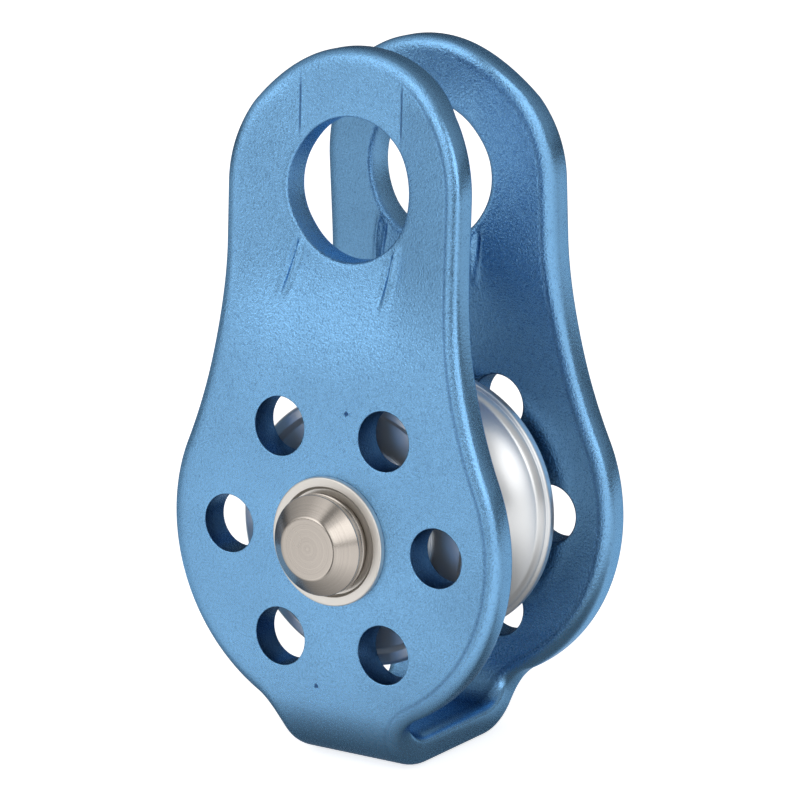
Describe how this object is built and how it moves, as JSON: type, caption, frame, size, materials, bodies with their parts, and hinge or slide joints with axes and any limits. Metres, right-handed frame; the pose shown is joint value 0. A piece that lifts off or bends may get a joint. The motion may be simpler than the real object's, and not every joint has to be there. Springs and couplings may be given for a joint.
{
  "type": "fixed-cheek rope pulley",
  "caption": "Small fixed-cheek rope pulley: a bent U-shaped blue frame with a pressed connector eye, a riveted axle and a grooved sheave on a sealed ball bearing.",
  "frame": {"origin": "centre of the connector eye, midway between the two cheeks", "axes": "+Z away from the sheave along the pulley's length, +Y along the axle from the formed head to the closing cap, +X to the right when the formed head faces the viewer"},
  "size_m": [0.0464, 0.038, 0.085],
  "materials": {
    "anodised_cheek": "bead-blasted and blue anodised, satin",
    "stainless": "turned and lightly polished",
    "stainless_washer": "matte stamped",
    "spacer_alloy": "plain turned",
    "turned_aluminium": "fine turned and polished",
    "spring_steel": "phosphated",
    "bearing_steel": "ground and polished",
    "cage_plastic": "moulded glass-filled plastic",
    "shield_steel": "pressed sheet"
  },
  "bodies": {
    "frame": {"cheek_frame": "anodised_cheek", "axle": "stainless", "end_cap": "stainless", "washer_front": "stainless_washer", "washer_rear": "stainless_washer", "spacer_front": "spacer_alloy", "spacer_rear": "spacer_alloy", "bearing_inner_ring": "bearing_steel"},
    "sheave": {"sheave": "turned_aluminium", "bearing_outer_ring": "bearing_steel", "shield_front": "shield_steel", "shield_rear": "shield_steel", "retaining_ring": "spring_steel"},
    "cage": {"bearing_cage": "cage_plastic"},
    "ball_1": {"ball_1": "bearing_steel"},
    "ball_2": {"ball_2": "bearing_steel"},
    "ball_3": {"ball_3": "bearing_steel"},
    "ball_4": {"ball_4": "bearing_steel"},
    "ball_5": {"ball_5": "bearing_steel"},
    "ball_6": {"ball_6": "bearing_steel"},
    "ball_7": {"ball_7": "bearing_steel"}
  },
  "joints": [
    {"name": "sheave_spin", "type": "hinge", "parent": "frame", "child": "sheave", "pos_m": [0, 0, -0.0407], "axis": [0, 1, 0], "continuous": true},
    {"name": "cage_orbit", "type": "hinge", "parent": "frame", "child": "cage", "pos_m": [0, 0, -0.0407], "axis": [0, 1, 0], "continuous": true},
    {"name": "ball_1_spin", "type": "hinge", "parent": "cage", "child": "ball_1", "pos_m": [0.00421, 0, -0.03542], "axis": [0, 1, 0], "continuous": true},
    {"name": "ball_2_spin", "type": "hinge", "parent": "cage", "child": "ball_2", "pos_m": [-0.0015, 0, -0.03412], "axis": [0, 1, 0], "continuous": true},
    {"name": "ball_3_spin", "type": "hinge", "parent": "cage", "child": "ball_3", "pos_m": [-0.00608, 0, -0.03777], "axis": [0, 1, 0], "continuous": true},
    {"name": "ball_4_spin", "type": "hinge", "parent": "cage", "child": "ball_4", "pos_m": [-0.00608, 0, -0.04363], "axis": [0, 1, 0], "continuous": true},
    {"name": "ball_5_spin", "type": "hinge", "parent": "cage", "child": "ball_5", "pos_m": [-0.0015, 0, -0.04728], "axis": [0, 1, 0], "continuous": true},
    {"name": "ball_6_spin", "type": "hinge", "parent": "cage", "child": "ball_6", "pos_m": [0.00421, 0, -0.04598], "axis": [0, 1, 0], "continuous": true},
    {"name": "ball_7_spin", "type": "hinge", "parent": "cage", "child": "ball_7", "pos_m": [0.00675, 0, -0.0407], "axis": [0, 1, 0], "continuous": true}
  ],
  "couplings": [
    {"joint": "cage_orbit", "follows": "sheave_spin", "ratio": 0.6111},
    {"joint": "ball_1_spin", "follows": "sheave_spin", "ratio": 2.1389},
    {"joint": "ball_2_spin", "follows": "sheave_spin", "ratio": 2.1389},
    {"joint": "ball_3_spin", "follows": "sheave_spin", "ratio": 2.1389},
    {"joint": "ball_4_spin", "follows": "sheave_spin", "ratio": 2.1389},
    {"joint": "ball_5_spin", "follows": "sheave_spin", "ratio": 2.1389},
    {"joint": "ball_6_spin", "follows": "sheave_spin", "ratio": 2.1389},
    {"joint": "ball_7_spin", "follows": "sheave_spin", "ratio": 2.1389}
  ]
}
